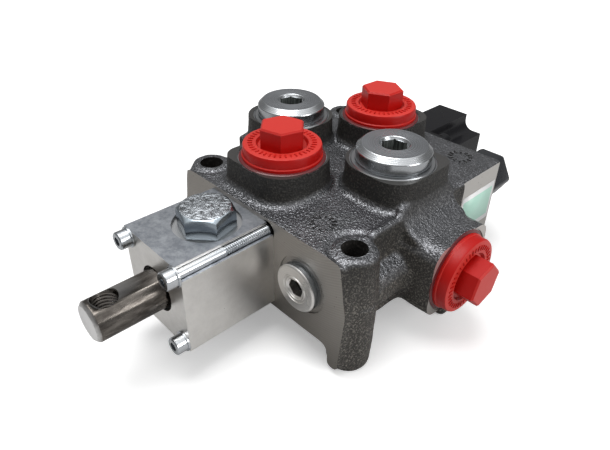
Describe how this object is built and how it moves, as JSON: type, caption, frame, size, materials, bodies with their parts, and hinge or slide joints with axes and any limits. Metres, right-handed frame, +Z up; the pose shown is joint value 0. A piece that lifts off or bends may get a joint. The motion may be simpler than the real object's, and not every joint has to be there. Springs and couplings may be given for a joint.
{
  "type": "hydraulic directional control valve",
  "caption": "Lever-worked spool valve: cast body with top and side ports, ball detent block on the front, spool end with cross hole, capped rear.",
  "frame": {"origin": "midway between the two front mounting holes, on the plane of the feet", "axes": "+X right across the valve seen from the detent block, +Y along the spool towards the rear cap, +Z up"},
  "size_m": [0.1715, 0.2575, 0.096],
  "materials": {
    "casting": "oiled rough casting, faces milled",
    "spool_steel": "ground, brownish oil film",
    "machined_aluminium": "satin, milled",
    "zinc_screws": "zinc plated",
    "zinc_bolt": "zinc plated, forged top",
    "zinc_plug": "zinc plated, turned",
    "hard_steel": "polished",
    "spring_steel": "drawn wire",
    "seal_rubber": "matt",
    "red_plastic": "waxy moulded polyethylene",
    "black_plastic": "satin",
    "black_paint": "satin black",
    "black_screws": "blackened",
    "label": "printed film, blank"
  },
  "bodies": {
    "housing": {"valve_body": "casting", "detent_housing": "machined_aluminium", "block_screws": "zinc_screws", "block_washers": "zinc_screws", "detent_bolt": "zinc_bolt", "detent_spring": "spring_steel", "wiper_seal": "seal_rubber", "front_spool_seal": "seal_rubber", "rear_spool_seal": "seal_rubber", "red_plug_a": "red_plastic", "red_plug_b": "red_plastic", "red_plug_pump": "red_plastic", "red_plug_tank": "red_plastic", "steel_plug_pump": "zinc_plug", "steel_plug_tank": "zinc_plug", "steel_plug_seals": "seal_rubber", "cavity_plug": "zinc_plug", "cavity_plug_seal": "seal_rubber", "check_spring": "spring_steel", "relief_cartridge": "zinc_plug", "relief_seal": "seal_rubber", "relief_spring": "spring_steel", "relief_adjuster": "zinc_screws", "relief_locknut": "zinc_screws", "relief_cap": "black_plastic", "rear_cap": "black_paint", "rear_cap_screws": "black_screws", "label": "label"},
    "spool": {"spool": "spool_steel"},
    "detent_ball": {"detent_ball": "hard_steel"},
    "check_poppet": {"check_poppet": "hard_steel"},
    "relief_poppet": {"relief_poppet": "hard_steel"}
  },
  "joints": [
    {"name": "spool_slide", "type": "slide", "parent": "housing", "child": "spool", "axis": [0, 1, 0], "range_m": [-0.007, 0.007]},
    {"name": "detent_ball_lift", "type": "slide", "parent": "housing", "child": "detent_ball", "axis": [0, 0, 1], "range_m": [-0.0006, 0], "stiffness_N_per_m": 4000, "springref_m": -0.004, "deforming": ["detent_spring"]},
    {"name": "check_lift", "type": "slide", "parent": "housing", "child": "check_poppet", "axis": [0, -1, 0], "range_m": [0, 0.004], "stiffness_N_per_m": 400, "springref_m": -0.005, "deforming": ["check_spring"]},
    {"name": "relief_lift", "type": "slide", "parent": "housing", "child": "relief_poppet", "axis": [0, 1, 0], "range_m": [0, 0.002], "stiffness_N_per_m": 4000, "springref_m": -0.004, "deforming": ["relief_spring"]}
  ]
}
